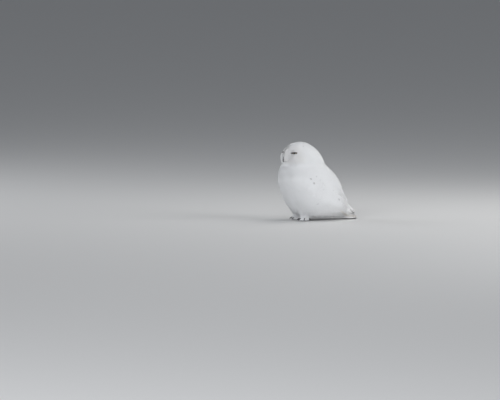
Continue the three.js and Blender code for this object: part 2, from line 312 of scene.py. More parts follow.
def on_tail(points):
    """1 on the part of the tail that stands free of the trunk and of the fluff under it."""
    over = (points - TAIL_BASE) @ TAIL_UP
    free = ease(0.130, 0.150, points[:, 1]) * ease(0.055, 0.045, np.abs(points[:, 0]))
    return free * ease(-0.014, -0.009, over)


def coat_depth(points):
    """How thick the plumage lies over the skin at each point, in metres."""
    _, ahead, height = to_face(points)
    on_head = ease(0.262, 0.292, height)
    to_eye = np.minimum(*(np.linalg.norm(points - np.array(eye), axis=1) for eye in EYES.values()))
    depth = np.full(len(points), DEPTH_ON["body"])
    for place, share in (
        ("head", on_head),
        ("face", on_head * ease(0.020, 0.062, ahead)),
        ("lids", ease(0.022, 0.015, to_eye)),
        ("rear", ease(0.120, 0.150, points[:, 1])),
        ("feet", ease(0.030, 0.016, points[:, 2]) * ease(-0.045, -0.060, points[:, 1])),
    ):
        depth += (DEPTH_ON[place] - depth) * share
    return depth


def face_folds(points):
    """How far the skin stands out of its plain form: rims round the eyes, brows over them, cheeks."""
    out, ahead, height = to_face(points)
    side = np.abs(out)
    around_eye = np.hypot(side - EYE_OUT - 0.001, (height - EYE_HEIGHT) * 1.15)
    total = RIM_HEIGHT * hump(around_eye - RIM_RADIUS, RIM_REACH)
    for fold, fold_out, reach_out, fold_height, reach_up in FACE_FOLDS:
        total += fold * hump(side - fold_out, reach_out) * hump(height - fold_height, reach_up)
    return ease(0.045, 0.070, ahead) * total


# %% Sink the skin under the coat
places = np.array([v.co for v in bm.verts])
normals = np.array([v.normal for v in bm.verts])
places += normals * (face_folds(places) - coat_depth(places))[:, None]
for vert, place in zip(bm.verts, places):
    vert.co = place
relax(bm, bm.verts, SUNK_PASSES)
shade_smooth(bm)
skin = link("skin", mesh_from(bm, "skin"))
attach(skin, "root")
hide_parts(*FLESH)
print("skin faces:", len(skin.data.polygons))

# %% [markdown]
# ## Colours and finishes shared by skin and coat
# The owl is white, with a breath of cream on the face, the tail and the edge under the folded wing, and a
# few dusky flecks. On the face and along that edge the cream is partly painted shade, and the dark at the
# corners of the eyes is painted shade. Skin and coat must agree, so one node group colours both. It reads
# two numbers that every vertex carries: one for cream and one for dusk, both with painted shade in places.
# A second group draws the fine barbs of a vane, for bump. Light goes a few millimetres deep into plumage,
# and a little subsurface scattering softens the shade the same way.

# %% Build the plumage colour group
WHITE = (0.80, 0.81, 0.82, 1)
SOFT_WHITE = (0.74, 0.745, 0.755, 1)
# The cream colour also paints shade on the face and under the folded wing, and the dusky one paints shade
# at the eyes' corners.
CREAM_AND_SHADE = (0.50, 0.42, 0.33, 1)
DUSKY_AND_SHADE = (0.035, 0.026, 0.020, 1)


def node(tree, kind, **values):
    """A shader node with some of its settings or input values."""
    made = tree.nodes.new(kind)
    for key, value in values.items():
        if key in made.inputs:
            made.inputs[key].default_value = value
        else:
            setattr(made, key, value)
    return made


def blend(tree, factor, a, b):
    """A colour mix node. Colours are given as values or as sockets."""
    made = node(tree, "ShaderNodeMix", data_type="RGBA")
    tree.links.new(factor, made.inputs[0])
    for socket, value in ((made.inputs[6], a), (made.inputs[7], b)):
        if isinstance(value, tuple):
            socket.default_value = value
        else:
            tree.links.new(value, socket)
    return made.outputs[2]


def plumage_colour_group():
    """Colour of the plumage at each place: white, cream or dusky, the cream and dusky partly painted shade.
    """
    group = bpy.data.node_groups.new("plumage_colour", "ShaderNodeTree")
    group.interface.new_socket("Mottle Scale", in_out="INPUT", socket_type="NodeSocketFloat")
    group.interface.new_socket("Colour", in_out="OUTPUT", socket_type="NodeSocketColor")
    entry, leave = node(group, "NodeGroupInput"), node(group, "NodeGroupOutput")
    place = node(group, "ShaderNodeTexCoord")
    mottle = node(group, "ShaderNodeTexNoise", Detail=3.0, Roughness=0.6)
    group.links.new(place.outputs["Object"], mottle.inputs["Vector"])
    group.links.new(entry.outputs["Mottle Scale"], mottle.inputs["Scale"])
    white = blend(group, mottle.outputs["Fac"], SOFT_WHITE, WHITE)
    # The two numbers mix in cream and dusky, which also paint shade on the face, under the folded wing and
    # at the eyes' corners.
    cream_and_shade = node(group, "ShaderNodeAttribute", attribute_name="cream_and_shade")
    dusk_and_shade = node(group, "ShaderNodeAttribute", attribute_name="dusk_and_shade")
    creamed_and_shaded = blend(group, cream_and_shade.outputs["Fac"], white, CREAM_AND_SHADE)
    group.links.new(blend(group, dusk_and_shade.outputs["Fac"], creamed_and_shaded, DUSKY_AND_SHADE), leave.inputs["Colour"])
    return group


PLUMAGE_COLOUR = plumage_colour_group()
print("nodes that colour the plumage:", len(PLUMAGE_COLOUR.nodes))


# %% Build the barbs group
def barbs_group():
    """Height of the barbs: fine ribs that slant from the shaft to the vane's edge."""
    group = bpy.data.node_groups.new("barbs", "ShaderNodeTree")
    group.interface.new_socket("Ribs", in_out="INPUT", socket_type="NodeSocketFloat")
    group.interface.new_socket("Height", in_out="OUTPUT", socket_type="NodeSocketFloat")
    entry, leave = node(group, "NodeGroupInput"), node(group, "NodeGroupOutput")
    vane = node(group, "ShaderNodeUVMap", uv_map="vane")
    parts = node(group, "ShaderNodeSeparateXYZ")
    centred = node(group, "ShaderNodeMath", operation="SUBTRACT")
    centred.inputs[1].default_value = 0.5
    away = node(group, "ShaderNodeMath", operation="ABSOLUTE")
    slant = node(group, "ShaderNodeMath", operation="SUBTRACT")
    times = node(group, "ShaderNodeMath", operation="MULTIPLY")
    wave = node(group, "ShaderNodeMath", operation="SINE")
    group.links.new(vane.outputs["UV"], parts.inputs[0])
    group.links.new(parts.outputs["X"], centred.inputs[0])
    group.links.new(centred.outputs[0], away.inputs[0])
    group.links.new(parts.outputs["Y"], slant.inputs[0])
    group.links.new(away.outputs[0], slant.inputs[1])
    group.links.new(slant.outputs[0], times.inputs[0])
    group.links.new(entry.outputs["Ribs"], times.inputs[1])
    group.links.new(times.outputs[0], wave.inputs[0])
    group.links.new(wave.outputs[0], leave.inputs["Height"])
    return group


BARBS = barbs_group()
print("nodes that draw the barbs:", len(BARBS.nodes))

# %% Mix the plumage finishes
MOTTLE_SCALE = 16.0
DOWN_SCALE = 420.0
MATTE = 0.85
SCATTER_DEPTH = 0.003
RELIEF_DEPTH = 0.0006


def plumage_finish(name, bump, ribs=0.0):
    """A soft matte material coloured by the plumage group. With ribs it has barbs, else soft down."""
    made = bpy.data.materials.new(name)
    made.use_nodes = True
    tree = made.node_tree
    shader = tree.nodes["Principled BSDF"]
    shader.inputs["Roughness"].default_value = MATTE
    shader.inputs["Specular IOR Level"].default_value = 0.2
    shader.inputs["Sheen Weight"].default_value = 0.15
    shader.subsurface_method = "BURLEY"
    shader.inputs["Subsurface Weight"].default_value = 0.5
    shader.inputs["Subsurface Radius"].default_value = (1.0, 1.0, 1.0)
    shader.inputs["Subsurface Scale"].default_value = SCATTER_DEPTH
    colour = node(tree, "ShaderNodeGroup", node_tree=PLUMAGE_COLOUR)
    colour.inputs["Mottle Scale"].default_value = MOTTLE_SCALE
    tree.links.new(colour.outputs["Colour"], shader.inputs["Base Color"])
    relief = node(tree, "ShaderNodeBump", Strength=bump, Distance=RELIEF_DEPTH)
    if ribs:
        fine = node(tree, "ShaderNodeGroup", node_tree=BARBS)
        fine.inputs["Ribs"].default_value = ribs
        tree.links.new(fine.outputs["Height"], relief.inputs["Height"])
    else:
        place = node(tree, "ShaderNodeTexCoord")
        down = node(tree, "ShaderNodeTexNoise", Scale=DOWN_SCALE, Detail=4.0)
        tree.links.new(place.outputs["Object"], down.inputs["Vector"])
        tree.links.new(down.outputs["Fac"], relief.inputs["Height"])
    tree.links.new(relief.outputs["Normal"], shader.inputs["Normal"])
    return made


DOWN = plumage_finish("down", bump=0.6)
SOFT_FEATHER = plumage_finish("soft_feather", bump=0.10, ribs=240.0)
STIFF_VANE = plumage_finish("stiff_vane", bump=0.35, ribs=420.0)
skin.data.materials.append(DOWN)
print("finishes:", [m.name for m in bpy.data.materials])

# %% [markdown]
# ## Markings and painted shade
# Each mark is a small spot in space: flecks on shoulders, wings, flank and crown, and painted shade at the
# corners of the eyes. The cream along the edge under the folded wing and on the face is partly painted
# shade. The same function marks the skin's vertices and the feathers', so that they agree.

# %% Say where the plumage is dusky or creamy, and where shade is painted
# An eye-corner spot of painted shade is its place on the face, in three numbers, its reach and its
# strength. A fleck is the same with its place in the model.
EYE_CORNER_SHADE = [(0.0298, 0.0868, 0.3421, 0.0066, 1.00), (0.0245, 0.0910, 0.3415, 0.0055, 0.30),
             (0.0525, 0.0790, 0.3430, 0.0064, 1.00)]
FLECKS = [((0.1203, -0.0972, 0.2154), 0.0052, 0.42), ((0.1191, -0.0668, 0.2268), 0.0050, 0.36),
          ((0.1220, -0.0511, 0.2090), 0.0058, 0.45), ((0.1265, -0.0819, 0.1944), 0.0055, 0.42),
          ((0.1167, 0.0605, 0.1086), 0.0060, 0.40), ((0.0535, 0.1718, 0.0412), 0.0080, 0.90),
          ((0.1245, -0.0599, 0.0912), 0.0050, 0.22), ((0.0548, -0.1079, 0.3755), 0.0050, 0.25),
          ((-0.1190, -0.0860, 0.2200), 0.0055, 0.42), ((-0.1225, -0.0560, 0.2050), 0.0052, 0.40),
          ((-0.1175, 0.0520, 0.1150), 0.0060, 0.40), ((-0.0550, 0.1640, 0.0480), 0.0070, 0.80)]
# The edge under the folded wing gets a creamy streak: partly the edge's own tint, partly painted shadow
# between the wing and the fluff below it.
UNDER_WING_CREAM_SHADE_LINE = ((0.050, 0.1437, 0.210), (0.0635, 0.0188, 0.0120))  # y along it, and z there
UNDER_WING_CREAM_SHADE_REACH = 0.0040
DUSKY_SPOTS_AND_SHADE = FLECKS + [(from_face(side * out, ahead, height), reach, strength)
                        for side in (1, -1) for out, ahead, height, reach, strength in EYE_CORNER_SHADE]


def dusk_and_shade_at(points):
    """How dark each point is, from 0 to 1: dusky flecks, and painted shade at the corners of the eyes."""
    total = np.zeros(len(points))
    for place, reach, strength in DUSKY_SPOTS_AND_SHADE:
        gap = np.linalg.norm(points - np.array(place), axis=1)
        total = np.maximum(total, strength * ease(reach, reach * 0.6, gap))
    return total


def cream_and_shade_at(points):
    """How creamy the plumage is: most along the edge under the folded wing, where it is partly painted
    shade, as on the face.
    """
    rear = ease(0.110, 0.200, points[:, 1])
    low = ease(0.110, 0.030, points[:, 2]) * ease(-0.060, 0.100, points[:, 1])
    _, ahead, height = to_face(points)
    # On the face the cream is a faint tint and painted shade, darkening the face a little.
    face = ease(0.030, 0.070, ahead) * ease(0.285, 0.300, height) * ease(0.385, 0.360, height)
    # A creamy streak with painted shadow along the edge under the folded wing.
    line = np.interp(points[:, 1], *UNDER_WING_CREAM_SHADE_LINE)
    under_wing_cream_shade = hump(points[:, 2] - line, UNDER_WING_CREAM_SHADE_REACH) * ease(0.055, 0.110, points[:, 1])
    return np.clip(0.05 * rear + 0.06 * low + 0.09 * face + 0.40 * under_wing_cream_shade, 0, 1)


def write_marks(mesh, points):
    """Gives each vertex its cream and dusk numbers, which carry painted shade too."""
    for name, values in (("cream_and_shade", cream_and_shade_at(points)), ("dusk_and_shade", dusk_and_shade_at(points))):
        layer = mesh.attributes.new(name, "FLOAT", "POINT")
        layer.data.foreach_set("value", values.astype(np.float32))


skin_places = np.array([v.co for v in skin.data.vertices])
write_marks(skin.data, skin_places)

# %% [markdown]
# ## Eyes
# The eyeball is a sphere with its pole along the gaze and the cornea swelling from it. The iris is bright
# yellow round a black pupil, and it shows only as a slit: the owl squints. Angle from the gaze, kept on
# each vertex, places the colours.

# %% Make the eyeballs
GAZE_OUT = math.radians(26)
GAZE_DOWN = 0.06
CORNEA_SWELL, CORNEA_REACH = 0.0009, 0.5
IRIS, PUPIL = math.radians(46), math.radians(30)


def eye_frame(side):
    """The eye's own frame: X to the eye's outer corner, Y up, Z along the gaze."""
    sign = 1 if side == "left" else -1
    turn = FACE_TURN + sign * GAZE_OUT
    gaze = Vector((math.sin(turn), -math.cos(turn), -GAZE_DOWN)).normalized()
    outer = Vector((0, 0, 1)).cross(gaze).normalized() * sign
    up = gaze.cross(outer) * sign
    basis = Matrix((outer, up, gaze)).transposed().to_4x4()
    return Matrix.Translation(EYES[side]) @ basis


def eyeball(side):
    """The ball, its cornea and the gaze angle of each vertex."""
    bm = bmesh.new()
    bmesh.ops.create_uvsphere(bm, u_segments=48, v_segments=40, radius=EYE_RADIUS)
    angle = bm.verts.layers.float.new("gaze_angle")
    for vert in bm.verts:
        vert[angle] = math.acos(max(-1, min(1, vert.co.z / EYE_RADIUS)))
        vert.co.z += CORNEA_SWELL * math.exp(-((vert[angle] / CORNEA_REACH) ** 2))
    bm.transform(eye_frame(side))
    bmesh.ops.recalc_face_normals(bm, faces=bm.faces)
    shade_smooth(bm)
    return mesh_from(bm, "eyeball_" + side)


# %% Colour the eyeballs
EYE_COLOURS = (  # the angle off the gaze, in radians, and the colour there
    (PUPIL + 0.01, (0.002, 0.002, 0.002, 1)),
    (PUPIL + 0.05, (0.30, 0.17, 0.01, 1)),
    (PUPIL + 0.16, (0.62, 0.38, 0.02, 1)),
    (IRIS - 0.04, (0.52, 0.30, 0.015, 1)),
    (IRIS, (0.03, 0.02, 0.008, 1)),
)


def eye_finish():
    """Wet and glossy: black pupil, yellow iris with fine rays, and dark round it."""
    made = bpy.data.materials.new("eye")
    made.use_nodes = True
    tree = made.node_tree
    shader = tree.nodes["Principled BSDF"]
    shader.inputs["Roughness"].default_value = 0.08
    shader.inputs["Coat Weight"].default_value = 1.0
    shader.inputs["Coat Roughness"].default_value = 0.02
    angle = node(tree, "ShaderNodeAttribute", attribute_name="gaze_angle")
    place = node(tree, "ShaderNodeTexCoord")
    rays = node(tree, "ShaderNodeTexNoise", Scale=520.0, Detail=2.0)
    wander = node(tree, "ShaderNodeMath", operation="MULTIPLY_ADD")
    wander.inputs[1].default_value = 0.05
    ramp = node(tree, "ShaderNodeValToRGB")
    stops = ramp.color_ramp.elements
    for stop, (position, colour) in zip(stops, EYE_COLOURS):
        stop.position, stop.color = position, colour
    for position, colour in EYE_COLOURS[2:]:
        stops.new(position).color = colour
    tree.links.new(place.outputs["Object"], rays.inputs["Vector"])
    tree.links.new(rays.outputs["Fac"], wander.inputs[0])
    tree.links.new(angle.outputs["Fac"], wander.inputs[2])
    tree.links.new(wander.outputs[0], ramp.inputs["Fac"])
    tree.links.new(ramp.outputs["Color"], shader.inputs["Base Color"])
    return made


EYE = eye_finish()
for side in EYES:
    ball = link("eyeball_" + side, eyeball(side))
    ball.data.materials.append(EYE)
    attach(ball, "root")
    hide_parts("eye_" + side)
print("eyeballs:", len(EYES), "faces each:", len(ball.data.polygons))

# %% [markdown]
# ## Eyelids
# A lid is a piece of a slightly larger sphere, cut by a plane. The upper lid's plane passes through the
# two corners of the eye and a point above the pupil, and the lower lid's through a point below it, so the
# opening between them is the shape of a lens. The rims are bare and black, and they swell a little.

# %% Make the eyelids
LID_RADIUS = EYE_RADIUS + 0.0007
CORNER = math.radians(66)
CORNER_DIP = {"outer": 0.0, "inner": -0.12}
LID_EDGE = {"upper": math.radians(12), "lower": math.radians(-16)}
LID_THICKNESS = 0.0007
RIM_WIDTH = 0.0026
RIM_SWELL = 0.05


def on_lid(across, rise):
    """A point of the lid's sphere from two angles off the gaze."""
    way = Vector((math.sin(across), math.sin(rise), math.cos(across) * math.cos(rise)))
    return way.normalized() * LID_RADIUS


def cut_away(bm, place, normal):
    """Cuts a bmesh by a plane and removes what lies behind it."""
    everything = bm.verts[:] + bm.edges[:] + bm.faces[:]
    bmesh.ops.bisect_plane(bm, geom=everything, plane_co=place, plane_no=normal, clear_inner=True)


def lid(side, which):
    """One lid, with the share of black rim on each vertex."""
    outer = on_lid(CORNER, CORNER_DIP["outer"])
    inner = on_lid(-CORNER, CORNER_DIP["inner"])
    middle = on_lid(0, LID_EDGE[which])
    across = (outer - inner).cross(middle - inner).normalized()
    if (across.y > 0) != (which == "upper"):
        across = -across
    bm = bmesh.new()
    bmesh.ops.create_uvsphere(bm, u_segments=80, v_segments=60, radius=LID_RADIUS)
    cut_away(bm, middle, across)
    cut_away(bm, (0, 0, 0.001), (0, 0, 1))
    rim = bm.verts.layers.float.new("rim")
    for vert in bm.verts:
        depth = (vert.co - middle).dot(across)
        to_corner = min((vert.co - outer).length, (vert.co - inner).length)
        black = 1 - ease(RIM_WIDTH * 0.75, RIM_WIDTH * 1.25, depth)
        vert[rim] = float(max(black, ease(0.0060, 0.0040, to_corner)))
        vert.co *= 1 + RIM_SWELL * float(hump(depth, RIM_WIDTH))
    bmesh.ops.solidify(bm, geom=bm.faces[:], thickness=LID_THICKNESS)
    bm.transform(eye_frame(side))
    bmesh.ops.recalc_face_normals(bm, faces=bm.faces)
    shade_smooth(bm)
    return mesh_from(bm, f"lid_{side}_{which}")


# %% Finish and place the lids
RIM_BLACK = (0.012, 0.011, 0.011, 1)
RIM_GLOSS = 0.35


def lid_finish():
    """White and downy, with a bare black rim that shines a little."""
    made = plumage_finish("lid", bump=0.4)
    tree = made.node_tree
    shader = tree.nodes["Principled BSDF"]
    colour = shader.inputs["Base Color"].links[0].from_socket
    rim = node(tree, "ShaderNodeAttribute", attribute_name="rim")
    tree.links.new(blend(tree, rim.outputs["Fac"], colour, RIM_BLACK), shader.inputs["Base Color"])
    gloss = node(tree, "ShaderNodeMapRange")
    gloss.inputs["To Min"].default_value = MATTE
    gloss.inputs["To Max"].default_value = RIM_GLOSS
    tree.links.new(rim.outputs["Fac"], gloss.inputs["Value"])
    tree.links.new(gloss.outputs["Result"], shader.inputs["Roughness"])
    return made


LID = lid_finish()
lids = {}
for side in EYES:
    for which in LID_EDGE:
        piece = link(f"lid_{side}_{which}", lid(side, which))
        write_marks(piece.data, np.array([v.co for v in piece.data.vertices]))
        piece.data.materials.append(LID)
        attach(piece, "root")
        lids[side, which] = piece
print("lids:", len(lids), "faces each:", len(piece.data.polygons))

# %% [markdown]
# ## Bill and claws
# Horn keeps the CAD's shape. A merged copy of each solid gets a subdivision surface, which rounds its
# facets, and a black satin finish with fine growth lines.

# %% Finish the horn
HORN_BLACK, HORN_GREY = (0.010, 0.010, 0.011, 1), (0.042, 0.041, 0.042, 1)
HORN_SHINY, HORN_DULL = 0.28, 0.5


def horn_finish():
    """Black horn: satin, a shade paler where the noise is high, with faint growth lines."""
    made = bpy.data.materials.new("horn")
    made.use_nodes = True
    tree = made.node_tree
    shader = tree.nodes["Principled BSDF"]
    shader.inputs["Coat Weight"].default_value = 0.3
    shader.inputs["Coat Roughness"].default_value = 0.25
    place = node(tree, "ShaderNodeTexCoord")
    wear = node(tree, "ShaderNodeTexNoise", Scale=260.0, Detail=3.0)
    tree.links.new(place.outputs["Object"], wear.inputs["Vector"])
    tree.links.new(blend(tree, wear.outputs["Fac"], HORN_BLACK, HORN_GREY), shader.inputs["Base Color"])
    rough = node(tree, "ShaderNodeMapRange")
    rough.inputs["To Min"].default_value = HORN_SHINY
    rough.inputs["To Max"].default_value = HORN_DULL
    tree.links.new(wear.outputs["Fac"], rough.inputs["Value"])
    tree.links.new(rough.outputs["Result"], shader.inputs["Roughness"])
    lines = node(tree, "ShaderNodeTexWave", Scale=180.0, Distortion=3.0, bands_direction="Z")
    relief = node(tree, "ShaderNodeBump", Strength=0.15, Distance=0.0003)
    tree.links.new(place.outputs["Object"], lines.inputs["Vector"])
    tree.links.new(lines.outputs["Fac"], relief.inputs["Height"])
    tree.links.new(relief.outputs["Normal"], shader.inputs["Normal"])
    return made


HORN = horn_finish()

# %% Round and place bill and claws
HORN_LEVELS = 2
horn_nodes = [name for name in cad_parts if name.startswith(("claw_", "bill_"))]
for name in horn_nodes:
    bm = merged_copy([name])
    shade_smooth(bm)
    piece = link("horn_" + name, mesh_from(bm, "horn_" + name))
    rounded = piece.modifiers.new("rounded", "SUBSURF")
    rounded.levels = rounded.render_levels = HORN_LEVELS
    piece.data.materials.append(HORN)
    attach(piece, "root")
    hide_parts(name)
print("horn pieces:", len(horn_nodes))

# %% [markdown]
# ## How feathers are made
# Every feather starts as a small flat grid: across is -0.5 to 0.5 and along is 0 at the root to 1 at the
# tip. Its spine walks over the skin in short steps that follow the lie of the plumage. The grid is then
# bent along the spine. It rises from the skin at the root to the coat's full depth at the tip, so each
# tip lies over the roots of the next feathers, as roof tiles do. Hair curves would be less work, but only
# a mesh keeps the feathers when the owl leaves this program.

# %% Find places and normals on the skin
skin_polygons = skin.data.polygons
SKIN_TREE = BVHTree.FromPolygons([v.co for v in skin.data.vertices], [p.vertices for p in skin_polygons])
corner_normals = np.array([v.normal for v in skin.data.vertices])
SKIN_NORMALS = np.array([corner_normals[list(p.vertices)].mean(axis=0) for p in skin_polygons])
print("normals kept for faces of the skin:", len(SKIN_NORMALS))


def unit(vectors):
    """Vectors of length 1."""
    return vectors / np.maximum(np.linalg.norm(vectors, axis=-1, keepdims=True), 1e-9)


def along_surface(vectors, normals):
    """The part of each vector that lies in the surface, at length 1."""
    return unit(vectors - normals * (vectors * normals).sum(axis=-1, keepdims=True))


def onto_skin(points):
    """The nearest places on the skin and the smooth normals there."""
    hits = [SKIN_TREE.find_nearest(p) for p in points.tolist()]
    places = np.array([hit[0] for hit in hits])
    return places, unit(SKIN_NORMALS[[hit[2] for hit in hits]])


# %% Scatter roots over the skin
TRIES_PER_ROOT = 4


def scatter(where, spacing, seed):
    """Places on the skin, about spacing apart. The function where says which places are wanted."""
    rng = np.random.default_rng(seed)
    bm = bmesh.new()
    bm.from_mesh(skin.data)
    bmesh.ops.triangulate(bm, faces=bm.faces)
    corners = np.array([[v.co for v in face.verts] for face in bm.faces])
    bm.free()
    corners = corners[where(corners.mean(axis=1))]
    one_side, other_side = corners[:, 1] - corners[:, 0], corners[:, 2] - corners[:, 0]
    areas = np.linalg.norm(np.cross(one_side, other_side), axis=1) / 2
    count = int(TRIES_PER_ROOT * areas.sum() / spacing**2)
    picked = corners[rng.choice(len(corners), count, p=areas / areas.sum())]
    a, b = rng.random((2, count, 1))
    turn = a + b > 1
    a, b = np.where(turn, 1 - a, a), np.where(turn, 1 - b, b)
    points = picked[:, 0] + a * (picked[:, 1] - picked[:, 0]) + b * (picked[:, 2] - picked[:, 0])
    tree = KDTree(count)
    for index, point in enumerate(points.tolist()):
        tree.insert(point, index)
    tree.balance()
    free = np.ones(count, bool)
    kept = []
    for index, point in enumerate(points.tolist()):
        if free[index]:
            kept.append(index)
            for _, other, _ in tree.find_range(point, spacing):
                free[other] = False
    return points[kept]


# %% Draw the spines that feathers follow
FLOW_PULL = 0.35  # how strongly each step turns back to the lie of the plumage


def follow_skin(roots, lengths, steps, flow, wander, rng):
    """Spines that walk over the skin along the flow. Each wanders a little from it."""
    places, normals = onto_skin(roots)
    heading = along_surface(flow(places, normals), normals)
    turn = rng.normal(0, wander, len(roots))[:, None]
    heading = heading * np.cos(turn) + np.cross(normals, heading) * np.sin(turn)
    spines, ups = [places], [normals]
    for _ in range(steps):
        places, normals = onto_skin(places + heading * (lengths / steps)[:, None])
        heading = along_surface(heading + FLOW_PULL * flow(places, normals), normals)
        spines.append(places)
        ups.append(normals)
    return np.stack(spines, axis=1), np.stack(ups, axis=1)


def free_spines(roots, start, bend, lengths, steps):
    """Spines that leave the skin: straight on at first, then bent."""
    share = np.linspace(0, 1, steps + 1)[None, :, None]
    start, bend = start[:, None], bend[:, None]
    return roots[:, None] + lengths[:, None, None] * (start * share + bend * share**2)


# %% Shape a feather and lay it on its spine
FLOOR_GAP = 0.0004  # no feather comes nearer to the floor
ROOT_SINK = 0.0008
LIFT_POWER = 1.7
QUILL_WIDTH = 0.35  # a feather's width at its root, as a share of its full width
BAKE_PATCH = 0.003


def vane_template(columns, rows):
    """Across and along for each vertex of a flat feather, and its faces."""
    bm = bmesh.new()
    bmesh.ops.create_grid(bm, x_segments=columns, y_segments=rows, size=0.5)
    across = np.array([v.co.x for v in bm.verts])
    along = np.array([v.co.y + 0.5 for v in bm.verts])
    faces = np.array([[v.index for v in face.verts] for face in bm.faces])
    bm.free()
    return across, along, faces


def fit_square(angles):
    """Scales two columns of angles to fill the unit square, with a small margin."""
    low, high = angles.min(axis=0), angles.max(axis=0)
    return 0.01 + 0.98 * (angles - low) / (high - low)


def unwrap(points):
    """Longitude and latitude of places on the skin, about a middle drawn in towards the owl's own."""
    middle = (points.min(axis=0) + points.max(axis=0)) / 2
    middle[:2] *= 0.6
    arms = points - middle
    longitude = np.arctan2(arms[:, 0], -arms[:, 1])
    latitude = np.arctan2(arms[:, 2], np.hypot(arms[:, 0], arms[:, 1]))
    return fit_square(np.stack((longitude, latitude), axis=1))


def feathers(name, spines, ups, widths, depth, rng, template=(4, 5), taper=0.35, rounding=0.16,
             ragged=0.05, camber=0.10, curl=0.0, roll=0.05, softness=0.7, material=SOFT_FEATHER):
    """One piece with a feather on each spine. Widths are in metres, and depth gives the tips' height.

    Taper narrows the tip, rounding draws its corners back and ragged makes its edge uneven. Camber arches
    the vane across, curl lifts its tip and roll tilts it at random. Softness turns the shading normals
    from the vane's own towards the skin's, so that the coat shades as one.
    """
    across, along, faces = vane_template(*template)
    count, steps = len(spines), spines.shape[1] - 1
    columns = np.rint((across + 0.5) * template[0]).astype(int)
    t = along - rounding * (2 * across) ** 2 * along**4
    t = t - ragged * rng.random((count, template[0] + 1))[:, columns] * along**3
    at = np.clip(t, 0, 1) * steps
    cell = np.minimum(at.astype(int), steps - 1)
    part = (at - cell)[..., None]
    feather = np.arange(count)[:, None]
    spine = spines[feather, cell] * (1 - part) + spines[feather, cell + 1] * part
    up = unit(ups[feather, cell] * (1 - part) + ups[feather, cell + 1] * part)
    side = unit(np.cross(spines[feather, cell + 1] - spines[feather, cell], up))
    lengths = np.linalg.norm(np.diff(spines, axis=1), axis=2).sum(axis=1)[:, None]
    width = widths[:, None] * (QUILL_WIDTH + (1 - QUILL_WIDTH) * ease(0, 0.45, t))
    width *= 1 - taper * ease(0.5, 1.0, t)
    lift = depth(spines[:, -1])[:, None] * rng.uniform(0.93, 1.03, count)[:, None]
    height = -ROOT_SINK + (lift + ROOT_SINK) * (1 - (1 - t) ** LIFT_POWER) + curl * lengths * t**4
    height += width * (across * rng.normal(0, roll, count)[:, None] * 2 - camber * (2 * across) ** 2 * t)
    places = spine + side * (across * width)[..., None] + up * height[..., None]
    places[..., 2] = np.maximum(places[..., 2], FLOOR_GAP)
    flat = places.reshape(-1, 3)
    mesh = bpy.data.meshes.new(name)
    all_faces = (faces[None] + (np.arange(count) * len(across))[:, None, None]).reshape(-1, 4)
    mesh.from_pydata(flat, [], all_faces)
    mesh.polygons.foreach_set("use_smooth", np.ones(len(all_faces), bool))
    own = np.empty(len(flat) * 3)
    mesh.vertices.foreach_get("normal", own)
    soft = unit(softness * up.reshape(-1, 3) + (1 - softness) * own.reshape(-1, 3))
    mesh.normals_split_custom_set_from_vertices(soft)
    vane = np.stack((across + 0.5, along), axis=1)
    patch = unwrap(spines[:, 0])[:, None] + (vane - 0.5) * BAKE_PATCH
    for map_name, values in (("OFBake", patch), ("vane", np.broadcast_to(vane, patch.shape))):
        layer = mesh.uv_layers.new(name=map_name)
        layer.data.foreach_set("uv", values.reshape(-1, 2)[all_faces.ravel()].ravel().astype(np.float32))
    write_marks(mesh, flat)
    made = link(name, mesh)
    made.data.materials.append(material)
    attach(made, "root")
    print(name, "feathers:", count, "triangles:", 2 * len(all_faces))


def even_lift(height):
    """A lift for feathers whose tips all stand equally high."""
    return lambda points: np.full(len(points), height)


def sizes(count, mean, rng, spread=0.15):
    """Lengths or widths that vary about a mean."""
    return mean * rng.uniform(1 - spread, 1 + spread, count)


# %% [markdown]
# ## The folded wing's surface
# Places on a wing are said with t, from 0 at the wrist to 1 at the wing's tip, and b, from -1 at the lower
# edge to 1 at the upper edge. The wing lies on the trunk, so its surface is the trunk's, moved out by the
# wing's thickness. The sizes are those of the wing and trunk solids.

# %% Wing surface
WRIST, SAG, WING_TIP = np.array([-0.1962, 0.226]), np.array([-0.0052, 0.157]), np.array([0.1808, 0.035])
WING_BREADTH, WING_LENGTH = 0.068, 0.425
WRIST_THICKNESS, TIP_THINNER = 0.015, 0.008
WING_OVERLAP = 0.004
WING_LEAST_OUT, WING_EASE_OUT = 0.045, 0.016  # behind the trunk it stays this far out, after a soft turn
TRUNK_MIDDLE_Y, TRUNK_MIDDLE_Z = -0.0382, 0.160
TRUNK_UP, TRUNK_DOWN = 0.158, 0.148
TRUNK_HALF_LENGTH, TRUNK_HALF_WIDTH = 0.160, 0.127


def trunk_half_width(y, z):
    """Half the trunk's width at a height and a distance along it."""
    rise = z - TRUNK_MIDDLE_Z
    up = rise / np.where(rise > 0, TRUNK_UP, TRUNK_DOWN)
    power = np.where(rise > 0, 2.15, 3.3)
    middle = TRUNK_MIDDLE_Y - rise * np.where(rise > 0, 0.37, 0.34)
    out = np.maximum(1 - np.abs(up) ** power, 1e-6) ** (1 / power)
    back = (y - middle) / (TRUNK_HALF_LENGTH * out)
    return TRUNK_HALF_WIDTH * out * np.maximum(1 - np.abs(back) ** 2.2, 0) ** (1 / 2.2)


def wing_line(t):
    """The wing's middle line in the side view, the way across it, and half the wing's breadth there."""
    t = t[..., None]
    axis = (1 - t) ** 2 * WRIST + 2 * t * (1 - t) * SAG + t**2 * WING_TIP
    run = unit(2 * (1 - t) * (SAG - WRIST) + 2 * t * (WING_TIP - SAG))
    rise = np.stack((-run[..., 1], run[..., 0]), axis=-1)
    return axis, rise, WING_BREADTH * np.sin(np.pi * np.clip(t, 0.02, 0.985) ** 0.72) ** 0.8


